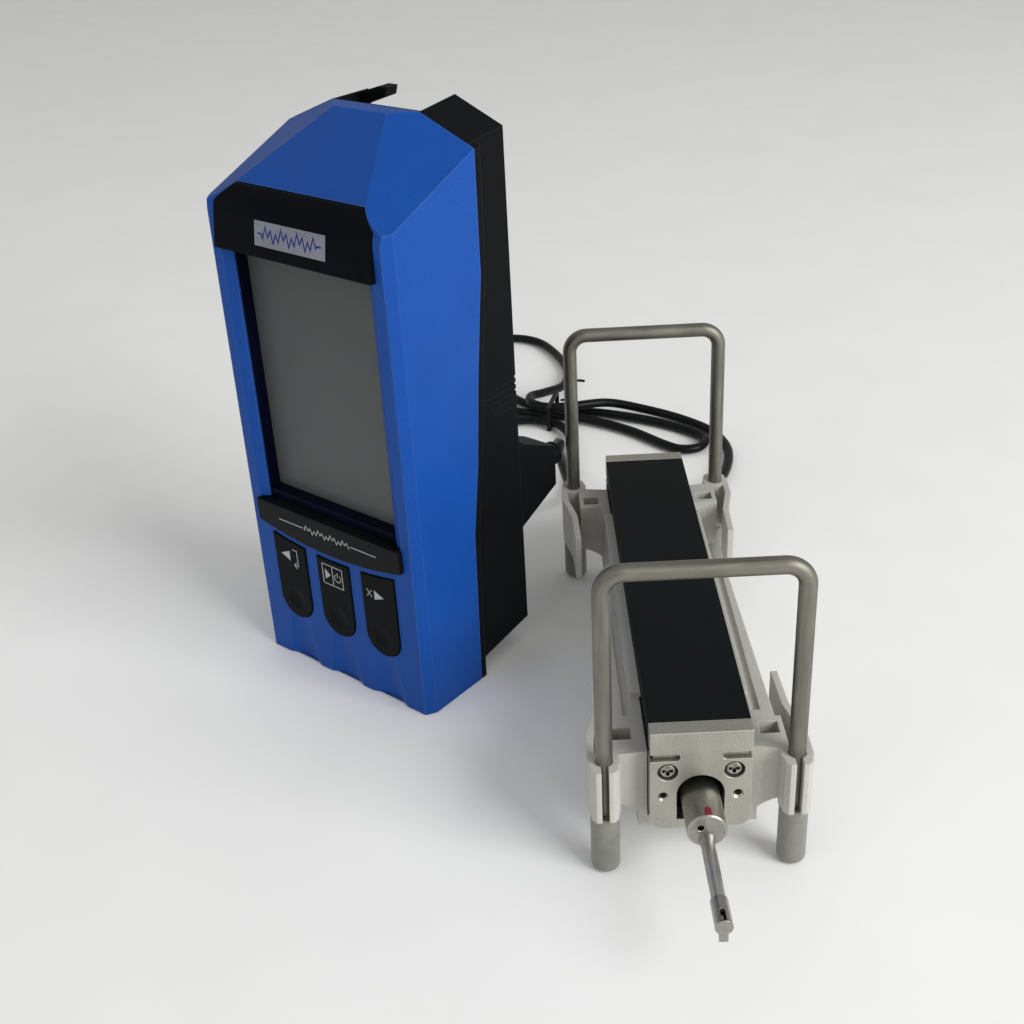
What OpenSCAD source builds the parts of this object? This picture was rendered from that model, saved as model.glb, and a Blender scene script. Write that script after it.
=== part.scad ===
// Portable surface roughness tester: a hand-held host with a screen and three keys,
// and a traverse drive that carries the stylus pickup and stands on two wire bails.
// Millimetres, +Z up. The origin is the middle of the host's base, on the floor.
// The drive lies along Y and its pickup points to -Y.

/* [Host case] */
// Width of the host
host_w = 63.8; // [60:0.2:72]
// Depth of the host from the front face to the back of the horns
host_d = 46; // [44:0.5:52]
// Height of the flat rim at the top of the host
host_h = 155; // [150:0.5:165]
// Turn of the host on the table, against the drive
host_turn = -39.6; // [-60:0.2:-30]
// Wall thickness of both case shells
case_wall = 2.2; // [1.6:0.1:2.6]
// Width of the bevel between the front face and each side
front_bevel_w = 1.8; // [1:0.1:2.4]
// Depth of the bevel between the front face and each side
front_bevel_d = 2.8; // [1.5:0.1:4]
// Depth from the front face to the shell seam at the base
seam_low = 22; // [20:0.5:25]
// Depth from the front face to the shell seam at the top
seam_high = 32.8; // [31:0.2:33.5]
// Inset of the rear shell's deep body behind its rim
rear_inset = 2; // [1.4:0.1:2.6]
// Depth of the rear shell's rim that lies flush with the front shell
rim_d = 2; // [1.2:0.1:3]
// Width of the open bay in the back that the drive drops into
bay_w = 30; // [26:0.5:31]
// Depth of the open bay
bay_d = 11; // [9:0.5:11.5]
// Reach of the retaining arm over the top of the bay
arm_reach = 10.7; // [6:0.1:14]
// Thickness of the retaining arm's tip
arm_h = 2.4; // [2:0.1:3]

/* [Front panel] */
// Depth of the pocket that holds the screen and its trim
pocket_d = 8; // [7.6:0.1:9]
// Gap along the seams between the front trim pieces
seam_gap = 0.15; // [0.1:0.05:0.25]
// Width of the visible screen
screen_w = 48.4; // [44:0.2:50]
// Height of the visible screen's lower edge
screen_low = 54; // [53.4:0.2:58]
// Drop of the visible screen's upper edge below the rim
screen_drop = 31.6; // [31:0.2:43]
// Depth of the screen's face behind the front face
screen_y = 5.7; // [5:0.1:6]
// Width of the brow panel above the screen
brow_w = 55; // [52:0.2:57]
// Reach of the brow's lower edge in front of the front face
brow_proud = 1.6; // [1:0.1:2.4]
// Width of the nameplate on the brow
nameplate_w = 24.6; // [18:0.2:30]
// Height of the nameplate on the brow
nameplate_h = 6.2; // [4:0.1:8]
// Width over the two screen rails
rails_w = 59.6; // [58.8:0.2:60]
// Height of the lower trim strip at its middle
trim_h = 9.7; // [8:0.1:10.4]
// Width of the lower trim strip
trim_w = 54; // [48:0.2:56]

/* [Keys] */
// Width of each key
key_w = 12.2; // [10:0.1:12.6]
// Distance between key centres
key_pitch = 17; // [16.4:0.1:18]
// Height of the keys' round lower ends
key_low = 14.9; // [13.5:0.1:16]
// Room between the keys' upper ends and the lower trim
key_room = 2.6; // [2.4:0.1:3.4]
// Clearance around each key in its opening
key_gap = 0.3; // [0.2:0.05:0.5]
// Stroke of each key
key_stroke = 0.8; // [0.5:0.1:1]

/* [Drive] */
// Width of the drive housing
drive_w = 23; // [22.4:0.1:24]
// Height of the drive housing
drive_h = 27.2; // [27:0.1:29]
// Length of the drive over both end plates
drive_len = 136.5; // [134:0.5:150]
// Thickness of the drive's end plates
plate_t = 4.2; // [3.2:0.1:5]
// Wall thickness of the drive housing
drive_wall = 1.6; // [1.2:0.1:1.7]
// Radius of the housing's lower corners
drive_corner = 3; // [2:0.1:3.4]
// Height of the drive's underside above the floor
drive_z = 12.1; // [11.8:0.1:14]
// Place of the drive's front plate across the host's base centre
drive_x = 83; // [80:0.5:110]
// Place of the drive's front plate along the drive
drive_y = -90; // [-110:0.5:-80]
// Distance between the front plate's fixing screws
plate_screw_pitch = 15; // [14.6:0.1:15.6]
// Distance between the two threaded fixture holes in the front plate
fixture_pitch = 17; // [16.4:0.1:17.6]
// Radius of the threaded fixture holes
fixture_r = 0.85; // [0.6:0.05:1]
// Width of the arch opening for the pickup
arch_w = 10.9; // [10.4:0.1:11.2]

/* [Pickup and traverse] */
// Radius of the pickup's body
pickup_r = 4.5; // [4.2:0.05:4.7]
// Height of the pickup's axis above the drive's underside
pickup_rise = 8.4; // [8.2:0.1:8.8]
// Reach of the pickup's body in front of the plate
pickup_out = 11; // [8:0.5:14]
// Drop of the stem below the pickup's axis
stem_drop = 2.5; // [2.2:0.1:2.7]
// Radius of the stem
stem_r = 1.6; // [1.5:0.05:1.7]
// Length of the stem and nose in front of the pickup's body
stem_len = 25.8; // [22:0.1:28]
// Radius of the nose sleeve
nose_r = 1.95; // [1.95:0.05:2.2]
// Length of the traverse
stroke = 17.5; // [10:0.5:18]
// Radius of the lead screw and of the guide rods
rod_r = 1.5; // [1.3:0.05:1.6]
// Radial running clearance of rods, screw and bails
run_fit = 0.05; // [0.03:0.01:0.08]

/* [Stand] */
// Radius of the bail wire
bail_r = 2; // [1.8:0.05:2.1]
// Distance between the two legs of a bail
bail_w = 43.4; // [43:0.1:46]
// Height of the middle of a bail's cross bar
bail_h = 80.6; // [75:0.2:90]
// Radius of a bail's bends at the wire's middle
bail_bend = 5; // [4.2:0.1:7]
// Place of the front bail behind the front plate's face
bail_front = 1.8; // [1.4:0.1:2.4]
// Place of the rear bail in front of the drive's rear end
bail_inset = 3.8; // [3.4:0.1:4.4]
// Height of the clips' upper ends
clip_top = 31; // [30.5:0.1:31.2]
// Height of the clips' lower ends
clip_low = 16.6; // [16:0.1:17]
// Outer radius of the clips
clip_r = 3.7; // [3.5:0.05:3.8]
// Radius of the foot sleeves
foot_r = 3.4; // [3:0.05:3.5]
// Wall thickness of the tray
tray_wall = 2.2; // [1.8:0.1:2.3]
// Thickness of the tray's floor
tray_floor = 2.9; // [2:0.1:3.5]

/* [Cable] */
// Diameter of the cable
cable_d = 3.4; // [3:0.1:3.8]

/* [Hidden] */
$fn = 48;
big = 400;

// Host values: x to the right, y back from the front face, z up
half_w = host_w / 2;
screen_high = host_h - screen_drop;
base_mid = seam_low / 2;
pocket_back = pocket_d + case_wall;
seam_points = [[seam_low, 0], [seam_low + 1.3, 46], [seam_low + 4.4, 66], [seam_high - 3.8, 92],
    [seam_high - 0.6, 117], [seam_high, host_h]];
deep_half = half_w - rear_inset;
bay_front = host_d - bay_d;
bay_wall_y = bay_front - case_wall;
bay_floor = 10;
horn_drop = 6;
horn_right = cross([deep_half - bay_w / 2, 0, -horn_drop], [0, host_d - seam_high, 1.5]);
horn_left = [-horn_drop, 0, deep_half - bay_w / 2];
arm_top = host_h + 2;
arm_level = 3.1;

// Three points of the right chamfer, the slanted top and the round shoulder below it
rim_front = 27.4;
rim_drop = 0.5;
chamfer_z = host_h - 19.4;
chamfer_low = [half_w, front_bevel_d, chamfer_z];
chamfer_back = [half_w, seam_high, host_h - 6.8];
chamfer_rim = [9, rim_front, host_h];
chamfer_normal = cross(chamfer_back - chamfer_low, chamfer_rim - chamfer_low);
slant_angle = 33;
slant_foot = host_h - rim_front * tan(slant_angle);
shoulder_r = 10.5;
shoulder_z = slant_foot - shoulder_r * tan((90 - slant_angle) / 2);

// Front panel values
brow_low = screen_high + 0.4;
brow_high = chamfer_z + 4.2;
brow_taper = 5.4;
brow_step = 0.3;
brow_r = shoulder_r + brow_step;
brow_reach = [shoulder_r + brow_proud, shoulder_z - brow_low];
brow_tilt = atan2(brow_reach[0], brow_reach[1]) - asin(brow_r / norm(brow_reach));
brow_flat = sqrt(brow_reach * brow_reach - brow_r * brow_r);
nameplate_t = 0.4;
nameplate_x = 0.5;
nameplate_mid = 6.2;
trim_high = 51.2;
rail_low = trim_high + 0.4;
rail_high = screen_high - 0.6;
rail_step = 2.6;
rail_d = 2;
rail_bevel_w = 2.8;
rail_bevel_d = 1.4;
trim_low = trim_high - trim_h;
trim_dip = 3.2;
trim_arc_r = (trim_w * trim_w / 4 + trim_dip * trim_dip) / (2 * trim_dip);
trim_proud = 1.2;
panel_half = rails_w / 2 - 3.6;
panel_low = trim_high + 0.2;
panel_high = screen_high + 4;

// Key values
key_places = [-key_pitch, 0, key_pitch];
key_lip = 0.7;
key_lip_d = 1;
key_proud = 0.4;
key_lip_y = case_wall + 0.1;
key_back = key_lip_y + key_lip_d;
plunger_r = 2;
plunger_back = key_back + 1.2;
plunger_z = key_low + 14.7;
dish_r = 12;
dish_depth = 0.5;
switch_gap = 0.2;
switch_h = 1.4;
switch_half = 2.5;
board_t = 1.6;
key_board_y = plunger_back + key_stroke + switch_gap + switch_h;
key_board_low = 17;
key_board_high = trim_low - 2;
key_board_half = key_pitch + key_w / 2 + 2;
board_post_r = 1.2;

// Case screw values
screw_x = key_pitch / 2;
screw_z = [bay_floor + 2.5, host_h - 19];
screw_r = 1.25;
screw_head_r = 2.3;
screw_head_t = 1.6;
screw_len = 12;
screw_gap = 0.15;
post_r = 2.6;

// Boards, battery and socket inside the host
main_half = 24;
main_low = trim_high - 1;
main_high = screen_high + 5;
main_y = pocket_back + 1.8;
battery_half = 17;
battery_t = 9;
battery_low = main_low + 4;
battery_high = screen_high - 9;
socket_x = (bay_w / 2 + deep_half) / 2;
socket_z = 48;
socket_w = 9;
socket_h = 24;
socket_d = 7;
pad_r = 3;
pad_t = 1.2;
pad_z = 14;

// Drive values: x across, y back from the front plate's face, z up from the floor
drive_top = drive_z + drive_h;
inner_half = drive_w / 2 - drive_wall;
inner_low = drive_z + drive_wall;
inner_top = drive_top - drive_wall;
slide_gap = 0.25;
block_half = inner_half - slide_gap;
block_top = inner_top - slide_gap;
rib_h = 1.6;
rib_w = 1.6;
rib_x = 6.6;
block_low = inner_low + rib_h + 0.1;
block_t = 8.8;
groove_low = drive_top - 7.8;
groove_h = 2;
groove_d = 0.8;
plate_screw_z = drive_top - 10.9;
fixture_z = drive_top - 17.9;
slot_in = 5.8;
slot_d = 1.2;
sink_d = 0.6;
sink_r = fixture_r + 0.5;
pickup_z = drive_z + pickup_rise;
arch_mid = pickup_z + 1.3;
arch_low = drive_z + 2.5;
head_r = 2;
head_t = 1.4;
counterbore_r = 2.4;
counterbore_d = 1.8;
plate_screw_r = 1;
plate_screw_len = 7;
axis_z = inner_top - 6.7;
rod_z = inner_top - 4.1;
rod_x = 6.2;
press_gap = 0.02;
front_block_back = plate_t + block_t;
carriage_front = 24;
carriage_len = 14;
carriage_half = inner_half - 1.2;
carriage_low = block_low + 0.2;
carriage_top = rod_z + rod_r + 1.2;
bush_r = 2.5;
nut_r = 3;
nut_len = 8;
coupling_r = 3;
coupling_len = 10;
coupling_y = carriage_front + carriage_len + stroke + 3;
motor_block_y = coupling_y + coupling_len + 2;
motor_block_t = 6;
motor_block_low = axis_z - 9;
motor_y = motor_block_y + motor_block_t;
motor_r = 6;
gearbox_len = 10;
motor_len = 18;
shaft_r = 1.2;
rear_plate_y = drive_len - plate_t;
rear_block_t = 8;
gland_z = drive_z + 10;
gland_r = 4;
gland_len = 9;
wire_r = cable_d / 2;

// Pickup values
pickup_back = carriage_front - 0.5;
tail_r = 3.2;
tail_len = 8;
cavity_r = pickup_r - 1.1;
pickup_face = 3;
pickup_edge = 0.3;
pickup_front = -pickup_out;
stem_z = pickup_z - stem_drop;
stem_bore = 1.05;
root_r = 2;
root_len = 2;
nose_len = 7.4;
nose_lap = 3;
nose_y = pickup_front - stem_len;
nose_back = nose_y + nose_len;
skid_w = 1.9;
skid_h = 2;
skid_t = 1.4;
tip_slot_w = 1.1;
tip_slot_y = nose_y + 0.3;
tip_slot_back = nose_y + 3.6;
arm_r = 0.45;
arm_front = nose_y + 1.8;
arm_back = pickup_front + 13;
arm_pivot = pickup_front + pickup_face + 2;
pin_r = 0.4;
pin_half = sqrt(cavity_r * cavity_r - (stem_drop + pin_r) * (stem_drop + pin_r)) - 0.1;
hub_r = 0.75;
hub_half = 0.8;
tip_r = 0.3;
tip_drop = nose_r + skid_h - 0.4;
adjust_r = 0.8;
coil_half = 2.1;

// Stand values
bail_rear = drive_len - bail_inset;
leg_x = bail_w / 2;
leg_foot = 3;
foot_top = clip_low - 0.3;
foot_round = 1.6;
tray_in = drive_w / 2 + 0.15;
tray_out = tray_in + tray_wall;
tray_front = 5;
tray_mid = (bail_front + bail_rear) / 2;
tray_low = drive_z - tray_floor - 0.1;
web_y = 15.5;
web_out = leg_x - 1.3;
web_front = tray_front - 0.3;
web_arch_r = 12;
web_arch_x = leg_x + 0.8;
web_arch_z = clip_low + 0.6 - web_arch_r;
web_pocket_d = 11.6;
web_pocket_y = [9.2, 13.4];
flange_out = tray_out + 5.2;
flange_tip = tray_out + 3.6;
flange_back = 88;
flange_t = 2.6;
flange_pocket_d = 1;
flange_pocket_w = 1.8;
lip_gap = 0.25;
lip_in = groove_d - lip_gap;
lip_front = 24;
jaw_gap = 1.7;
jaw_w = 2.3;
jaw_out = 4.4;
finger_t = 1.7;
finger_len = 31;
finger_low = clip_low + 0.4;

// Plug values, in the host's axes
plug_half = 5.5;
plug_y = host_d + 0.3;
plug_len = 18;
plug_tall = 26;
plug_short = 12.4;
plug_lift = 1;
relief_r = 3.4;
relief_len = 6;

// The cable's route in the part's own frame: out of the plug, down to the floor,
// through two loops on each side of the tie, and into the drive's rear gland
cable_route = [[55.1, 31.4, 49], [56.8, 34.5, 48.9], [57.2, 38, 48.2], [57, 43, 45.8], [57.6, 53, 37.5],
    [60, 65, 23], [62, 79, 9.5], [63, 92, 3.4], [64, 108, 2.6], [64.5, 128, 2.6], [62.5, 142, 2.6],
    [56, 150.2, 2.6], [46, 152.5, 2.4], [34, 151, 2], [20, 148.5, 2], [11, 150, 2], [5, 157, 2],
    [7.4, 166, 2], [16.5, 169.5, 2], [30, 166, 2], [46, 160, 2.4], [58, 155, 2.6], [72, 150, 2.4],
    [87, 139.5, 2], [98, 127, 2], [104, 122, 2], [110.6, 122.6, 2], [113.8, 128.4, 2], [111, 135, 2],
    [97, 146.5, 2], [76, 156, 2.4], [59, 160, 2.6], [46, 170, 2.4], [36, 190, 2], [29, 212, 2],
    [32, 230, 2], [43, 238, 2], [55, 232, 2], [63, 215, 2], [66, 198, 2], [63.5, 182, 3], [56, 172, 5],
    [50, 165, 6.6], [50.8, 157.4, 7], [57.4, 153.2, 7], [67, 153.6, 7], [80, 157, 6], [94, 155, 3.4],
    [108, 147, 2], [118, 134, 2], [121, 118, 2], [116, 99, 2], [106, 85, 3], [96.5, 76, 8], [89.4, 69.4,
        14.8],
    [85, 64, 19.8], [83.3, 59.5, 21.8], [83, 55.5, 22.1]];
cable_rings = 80;
cable_sides = 8;
tie_place = [58.4, 154.5, 4.95];
tie_turn = -14;
tie_inner = [15, 8.4];
tie_t = 0.7;
tie_w = 1.6;

// Places children, drawn in the host's own axes, on the table
module at_host() {
    rotate([0, 0, host_turn]) translate([0, -base_mid, 0]) children();
}

// Places children, drawn in the drive's own axes, on the table
module at_drive() {
    translate([drive_x, drive_y, 0]) children();
}

// Extrudes an outline drawn in x and z from y0 to y1
module along_y(y0, y1) {
    translate([0, y1, 0]) rotate([90, 0, 0]) linear_extrude(y1 - y0) children();
}

// Extrudes an outline drawn in y and z from x0 to x1
module along_x(x0, x1) {
    translate([x0, 0, 0]) rotate([90, 0, 90]) linear_extrude(x1 - x0) children();
}

// A round bar along y at x and z
module bar_y(r, x, z, y0, y1) {
    translate([x, y1, z]) rotate([90, 0, 0]) cylinder(r = r, h = y1 - y0);
}

// A block between two corners
module block(from, to) {
    translate(from) cube(to - from);
}

// Children on both sides of the middle plane
module both_sides() {
    children();
    mirror([1, 0, 0]) children();
}

// Everything on the far side of a plane, moved inwards by an inset
module beyond(point, normal, inset) {
    n = normal / norm(normal);
    translate(point - inset * n) rotate([0, acos(n[2]), atan2(n[1], n[0])])
        translate([-big / 2, -big / 2, 0]) cube(big);
}

// The face of the brow: y is 0 on it and z runs up along it from its lower edge
module at_brow() {
    translate([0, -brow_proud, brow_low]) rotate([-brow_tilt, 0, 0]) children();
}

// The host's plan with its two front bevels, drawn in x and y
module host_plan(inset) {
    w = half_w - inset;
    bevel_y = front_bevel_d + inset / 2;
    polygon([[-w, bevel_y], [-w + front_bevel_w, inset], [w - front_bevel_w, inset], [w, bevel_y],
        [w, big], [-w, big]]);
}

// The host's profile in y and z: the front face, the round shoulder, the slant and the rim
module host_profile(inset) {
    difference() {
        translate([inset, inset]) square([big, host_h - 2 * inset]);
        translate([0, slant_foot]) rotate(slant_angle) translate([-big / 2, -inset]) square(big);
        translate([shoulder_r, shoulder_z]) difference() {
            polygon([[0, 0], [-big, 0], [-big, big],
                [-big * sin(slant_angle), big * cos(slant_angle)]]);
            circle(shoulder_r - inset);
        }
    }
}

// The host's outer form without its back, moved inwards by an inset
module host_form(inset) {
    difference() {
        intersection() {
            linear_extrude(host_h) host_plan(inset);
            along_x(-half_w - 1, half_w + 1) host_profile(inset);
        }
        both_sides() beyond(chamfer_low, chamfer_normal, inset);
    }
}

// Everything in front of the seam between the shells, moved back by a shift
module before_seam(shift) {
    seam = [for (p = seam_points) [p[0] + shift, p[1]]];
    along_x(-half_w - 1, half_w + 1)
        polygon(concat([[-big, -1], [seam_low + shift, -1]], seam,
            [[seam_high + shift, big], [-big, big]]));
}

// The outline in x and z of the key at a place: round below, its upper end along the trim's arc
module key_outline(place, grow) {
    r = key_w / 2;
    difference() {
        translate([place, key_low + r]) union() {
            translate([-r - grow, 0]) square([key_w + 2 * grow, trim_high - key_low]);
            circle(r + grow);
        }
        translate([0, trim_low + trim_arc_r]) circle(trim_arc_r + key_room - grow, $fn = 180);
        translate([-big, trim_high - trim_dip]) square(2 * big);
    }
}

// The right rail's outline in x and z
module rail_outline(grow) {
    in = screen_w / 2;
    out = rails_w / 2 + grow;
    low = rail_low - grow;
    high = rail_high + grow;
    polygon([[in, low], [in + rail_step, low], [out, low + 6.4], [out, high - 3.2],
        [in + rail_step + 2, high - 2.2], [in + rail_step, high], [in, high]]);
}

// The lower trim's outline in x and z, its lower edge a shallow arc
module trim_outline(grow) {
    w = trim_w / 2 + grow;
    intersection() {
        translate([-w, trim_low - grow]) square([2 * w, trim_h + 2 * grow]);
        translate([0, trim_low - grow + trim_arc_r]) circle(trim_arc_r, $fn = 180);
    }
}

// The brow's outline in x and z, narrower beside the chamfers
module brow_outline(grow) {
    w = brow_w / 2 + grow;
    top = w - brow_taper;
    high = brow_high + grow;
    polygon([[-w, brow_low - grow], [w, brow_low - grow], [w, chamfer_z], [top, high], [-top, high],
        [-w, chamfer_z]]);
}

// The outline of the display behind its rails, in x and z
module display_outline(grow) {
    translate([-panel_half - grow, panel_low - grow])
        square([2 * (panel_half + grow), panel_high - panel_low + 2 * grow]);
}

// Children at the four case screws, with z turned back along y
module at_case_screws() {
    for (side = [-1, 1], z = screw_z) translate([side * screw_x, 0, z]) rotate([-90, 0, 0]) children();
}

// Children at the three keys
module at_keys() {
    for (place = key_places) translate([place, 0, 0]) children();
}

// A finger flute below a key, deepest at the base
module flute() {
    flute_r = 15;
    flute_depth = 1.5;
    translate([0, flute_depth - flute_r, -1]) rotate([4, 0, 0]) cylinder(r = flute_r, h = 20, $fn = 120);
}

// Posts that take the case screws and carry the two boards
module shell_posts() {
    at_case_screws() translate([0, 0, case_wall / 2]) cylinder(r = post_r,
        h = bay_wall_y - case_wall / 2);
    for (side = [-1, 1]) bar_y(board_post_r, side * screw_x, plunger_z, case_wall / 2, key_board_y);
    for (side = [-1, 1], z = [main_low + 5, main_high - 5])
        bar_y(post_r, side * (main_half - 4), z, pocket_d + case_wall / 2, main_y);
}

module front_shell() {
    color("royalblue") at_host() difference() {
        union() {
            difference() {
                intersection() {
                    host_form(0);
                    before_seam(0);
                }
                difference() {
                    host_form(case_wall);
                    block([-half_w, -1, trim_low - 1.5], [half_w, pocket_back, big]);
                }
                at_keys() flute();
            }
            shell_posts();
        }
        along_y(-1, pocket_d) union() {
            brow_outline(seam_gap);
            trim_outline(seam_gap);
            rail_outline(seam_gap);
            mirror([1, 0]) rail_outline(seam_gap);
            display_outline(seam_gap);
        }
        for (place = key_places) {
            along_y(-1, key_lip_y) key_outline(place, key_gap);
            along_y(key_lip_y - 0.01, key_back + key_stroke + key_gap) key_outline(place,
                key_lip + key_gap);
        }
        at_case_screws() translate([0, 0, bay_front - screw_len]) cylinder(r = screw_r, h = screw_len);
    }
}

// The rear shell's deep body, moved inwards by an inset
module deep_form(inset) {
    w = deep_half - inset;
    difference() {
        block([-w, seam_low, inset], [w, host_d - inset, arm_top - inset]);
        beyond([0, seam_low, 3.5], [0, 0.17, -1], inset);
        beyond([bay_w / 2, seam_high, host_h], horn_right, inset);
        beyond([-bay_w / 2, seam_high, host_h], horn_left, inset);
    }
}

// The open bay in the back, grown by its wall
module bay(grow) {
    block([-bay_w / 2 - grow, bay_front - grow, bay_floor - grow], [bay_w / 2 + grow, big, big]);
}

// The arm that reaches over the bay from the left horn
module retaining_arm() {
    root = -bay_w / 2 - case_wall;
    tip = -bay_w / 2 + arm_reach;
    mid = tip - 0.9 * arm_reach;
    along_y(host_d - 4, host_d) polygon([[root, arm_top - 3 * arm_h], [mid, arm_top - 2.3 * arm_h],
        [tip - arm_h / 3, arm_top - arm_h], [tip, arm_top], [tip - arm_level, arm_top],
        [root, arm_top - 3]]);
}

// Five fine level grooves on the right side of the rear shell
module grip_grooves() {
    depth = 0.4;
    pitch = 1.9;
    top = 84;
    for (i = [0:4]) translate([deep_half, 0, top - pitch * i])
        block([-depth, host_d - 15 + 1.5 * i, -depth], [depth, host_d + 1, depth]);
}

// The rim of the rear shell behind the seam, a little lower than the front shell at the top
module rear_rim() {
    difference() {
        intersection() {
            host_form(0);
            before_seam(rim_d);
        }
        both_sides() beyond(chamfer_low, chamfer_normal, rim_drop);
        beyond([0, 0, host_h], [0, 0, 1], rim_drop);
    }
}

module rear_shell() {
    color([0.09, 0.1, 0.1]) at_host() difference() {
        union() {
            difference() {
                union() {
                    rear_rim();
                    deep_form(0);
                }
                difference() {
                    deep_form(case_wall);
                    bay(case_wall);
                }
                bay(0);
                block([-bay_w / 2, -1, host_h - rim_drop], [bay_w / 2, big, big]);
            }
            retaining_arm();
        }
        before_seam(0);
        at_case_screws() translate([0, 0, bay_wall_y - 1]) cylinder(r = screw_r + screw_gap,
            h = case_wall + 2);
        block([socket_x - socket_w / 2, bay_front, socket_z - socket_h / 2],
            [socket_x + socket_w / 2, host_d + 1, socket_z + socket_h / 2]);
        both_sides() grip_grooves();
    }
}

// The brow's profile in y and z: a flat face that runs over into the round shoulder
module brow_profile() {
    flat_y = brow_flat * sin(brow_tilt) - brow_proud;
    flat_z = brow_flat * cos(brow_tilt) + brow_low;
    difference() {
        polygon([[pocket_d, brow_low], [-brow_proud, brow_low], [flat_y, flat_z], [flat_y, brow_high],
            [pocket_d, brow_high]]);
        difference() {
            translate([-brow_r, flat_z]) square(2 * brow_r);
            translate([shoulder_r, shoulder_z]) circle(brow_r);
        }
    }
}

module brow_panel() {
    color([0.06, 0.06, 0.07]) at_host() difference() {
        intersection() {
            along_y(-brow_proud, pocket_d) brow_outline(0);
            along_x(-brow_w, brow_w) brow_profile();
        }
        along_y(rail_d, big) display_outline(seam_gap);
    }
}

module nameplate() {
    color("silver") at_host() at_brow()
        block([nameplate_x - nameplate_w / 2, -nameplate_t, nameplate_mid - nameplate_h / 2],
            [nameplate_x + nameplate_w / 2, 0, nameplate_mid + nameplate_h / 2]);
}

module display_panel() {
    color([0.3, 0.31, 0.31]) at_host() along_y(screen_y, pocket_d) display_outline(0);
}

module display_frame() {
    color([0.05, 0.05, 0.08]) at_host() along_y(rail_d, screen_y) difference() {
        display_outline(0);
        translate([-screen_w / 2, screen_low]) square([screen_w, screen_high - screen_low]);
    }
}

// One screen rail on the right: a cover over the frame's side with a foot on the pocket's floor
module rail() {
    foot_x = panel_half + seam_gap;
    in = screen_w / 2;
    intersection() {
        along_y(0, rail_d) rail_outline(0);
        linear_extrude(host_h)
            polygon([[in, rail_bevel_d], [in + rail_bevel_w, 0], [half_w, 0],
                [half_w, rail_d], [in, rail_d]]);
    }
    along_y(rail_d, pocket_d) intersection() {
        rail_outline(0);
        translate([foot_x, 0]) square(big);
    }
}

module rail_left() {
    color("royalblue") at_host() mirror([1, 0, 0]) rail();
}

module rail_right() {
    color("royalblue") at_host() rail();
}

module lower_trim() {
    color([0.08, 0.09, 0.09]) at_host() along_y(-trim_proud, pocket_d) trim_outline(0);
}

// The key of a number with its dish, its retaining lip and its plunger
module key_at(number) {
    place = key_places[number];
    dish_z = key_low + key_w / 2;
    color([0.08, 0.09, 0.09]) at_host() difference() {
        union() {
            along_y(-key_proud, key_back) key_outline(place, 0);
            along_y(key_lip_y, key_back) key_outline(place, key_lip);
            bar_y(plunger_r, place, plunger_z, key_back, plunger_back);
        }
        translate([place, dish_depth - key_proud - dish_r, dish_z]) sphere(dish_r, $fn = 64);
    }
}

module key_left() {
    key_at(0);
}

module key_start() {
    key_at(1);
}

module key_right() {
    key_at(2);
}

module key_board() {
    front = key_board_y;
    color("darkgreen") at_host() {
        difference() {
            block([-key_board_half, front, key_board_low], [key_board_half, front + board_t,
                key_board_high]);
            at_case_screws() cylinder(r = post_r + 0.5, h = bay_front);
        }
        at_keys() block([-switch_half, front - switch_h, plunger_z - switch_half],
            [switch_half, front, plunger_z + switch_half]);
    }
}

module main_board() {
    back = main_y + board_t;
    span = main_high - main_low;
    chip_t = 1.4;
    // Left and right edge of each chip, and its lower and upper edge as shares of the board's height
    chips = [[-8, 8, 0.56, 0.76], [10, 20, 0.44, 0.54], [-20, -12, 0.14, 0.32], [-10, 10, 0.02, 0.1],
        [12, 20, 0.8, 0.9]];
    color("darkgreen") at_host() {
        block([-main_half, main_y, main_low], [main_half, back, main_high]);
        for (c = chips) block([c[0], back, main_low + c[2] * span], [c[1], back + chip_t,
            main_low + c[3] * span]);
    }
}

module battery_pack() {
    corner = 3;
    color("steelblue") at_host() along_y(bay_wall_y - battery_t, bay_wall_y) union() {
        translate([-battery_half, battery_low + corner])
            square([2 * battery_half, battery_high - battery_low - 2 * corner]);
        translate([-battery_half + corner, battery_low])
            square([2 * (battery_half - corner), battery_high - battery_low]);
        for (x = [-1, 1], z = [battery_low + corner, battery_high - corner])
            translate([x * (battery_half - corner), z]) circle(corner);
    }
}

module host_socket() {
    color([0.15, 0.15, 0.16]) at_host() difference() {
        block([socket_x - socket_w / 2, host_d - socket_d, socket_z - socket_h / 2],
            [socket_x + socket_w / 2, host_d, socket_z + socket_h / 2]);
        block([socket_x - socket_w / 4, host_d - socket_d + 2, socket_z - socket_h / 4],
            [socket_x + socket_w / 4, host_d + 1, socket_z + socket_h / 4]);
    }
}

// A cross recess cut into a screw head that faces down its own z axis
module cross_recess(r, depth) {
    arm = r * 0.62;
    thick = r * 0.2;
    translate([-arm, -thick, -1]) cube([2 * arm, 2 * thick, depth + 1]);
    translate([-thick, -arm, -1]) cube([2 * thick, 2 * arm, depth + 1]);
}

// A pan-head screw whose head's top lies at z 0 and whose shank runs along +z
module pan_screw(shank_r, length, r, t) {
    difference() {
        union() {
            cylinder(r1 = r * 0.8, r2 = r, h = t / 2);
            translate([0, 0, t / 2]) cylinder(r = r, h = t / 2);
            translate([0, 0, t]) cylinder(r = shank_r, h = length);
        }
        cross_recess(r, t / 2);
    }
}

module case_screws() {
    color("gray") at_host() at_case_screws() translate([0, 0, bay_front + screw_head_t])
        rotate([180, 0, 0]) pan_screw(screw_r - press_gap, screw_len - 1, screw_head_r, screw_head_t);
}

module rear_pads() {
    color([0.13, 0.13, 0.13]) at_host() for (side = [-1, 1])
        bar_y(pad_r, side * (deep_half - pad_r - 1), pad_z, host_d, host_d + pad_t);
}

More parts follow.
